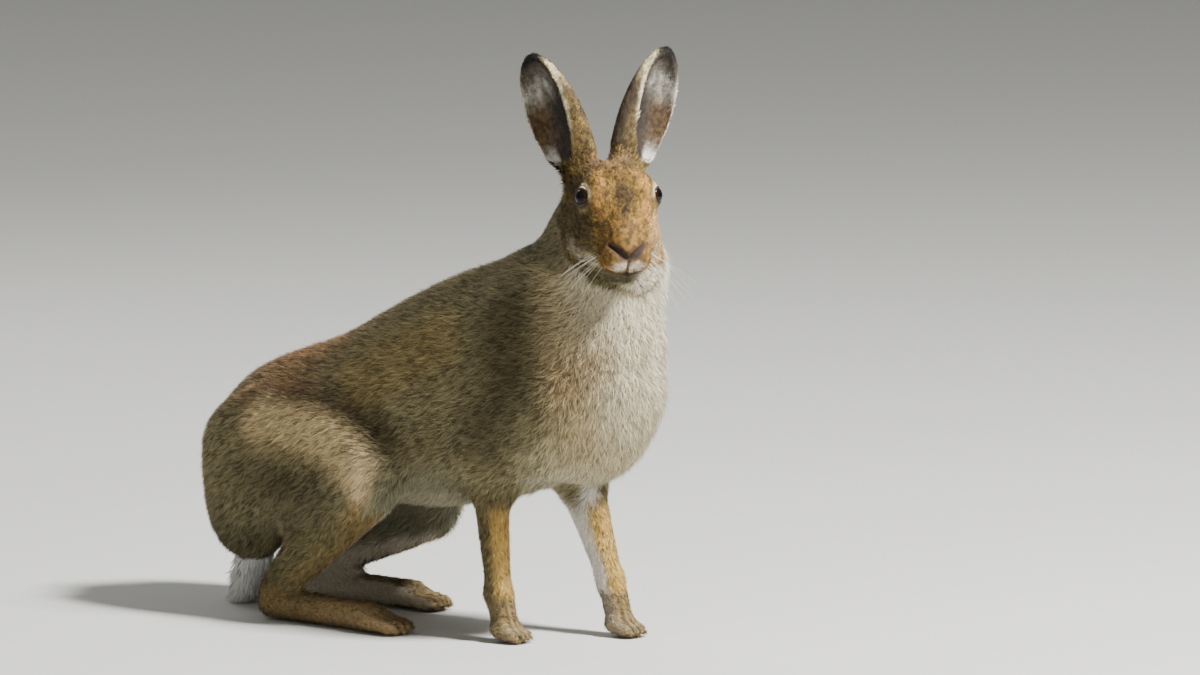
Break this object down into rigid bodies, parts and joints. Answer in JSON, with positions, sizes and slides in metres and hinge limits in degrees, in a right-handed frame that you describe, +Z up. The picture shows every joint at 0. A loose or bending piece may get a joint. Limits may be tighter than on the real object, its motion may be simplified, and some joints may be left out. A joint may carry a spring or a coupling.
{
  "type": "mountain hare",
  "caption": "Still, life-size model of a hare in brown summer coat, standing alert on all fours with low hindquarters, upright ears and its head turned to the right.",
  "frame": {"origin": "on the ground, at the middle of the footprint of the animal's box", "axes": "+X towards the hare's front, +Y towards its left, +Z up"},
  "size_m": [0.4216, 0.1506, 0.4336],
  "materials": {
    "coat_brown": "short grizzled brown fur",
    "coat_gold": "short golden ochre fur",
    "coat_russet": "short russet fur",
    "coat_pale": "soft pale sandy fur",
    "coat_white": "soft white fur",
    "eye": "wet, very dark brown"
  },
  "bodies": {
    "root": {"head": "coat_gold", "ear_right": "coat_brown", "ear_left": "coat_brown", "eye_right": "eye", "eye_left": "eye", "neck": "coat_brown", "torso": "coat_brown", "tail": "coat_white", "upper_arm_right": "coat_brown", "forearm_right": "coat_gold", "forepaw_right": "coat_pale", "upper_arm_left": "coat_brown", "forearm_left": "coat_gold", "forepaw_left": "coat_pale", "thigh_right": "coat_brown", "shin_right": "coat_russet", "hind_foot_right": "coat_russet", "thigh_left": "coat_brown", "shin_left": "coat_russet", "hind_foot_left": "coat_russet"}
  },
  "joints": []
}
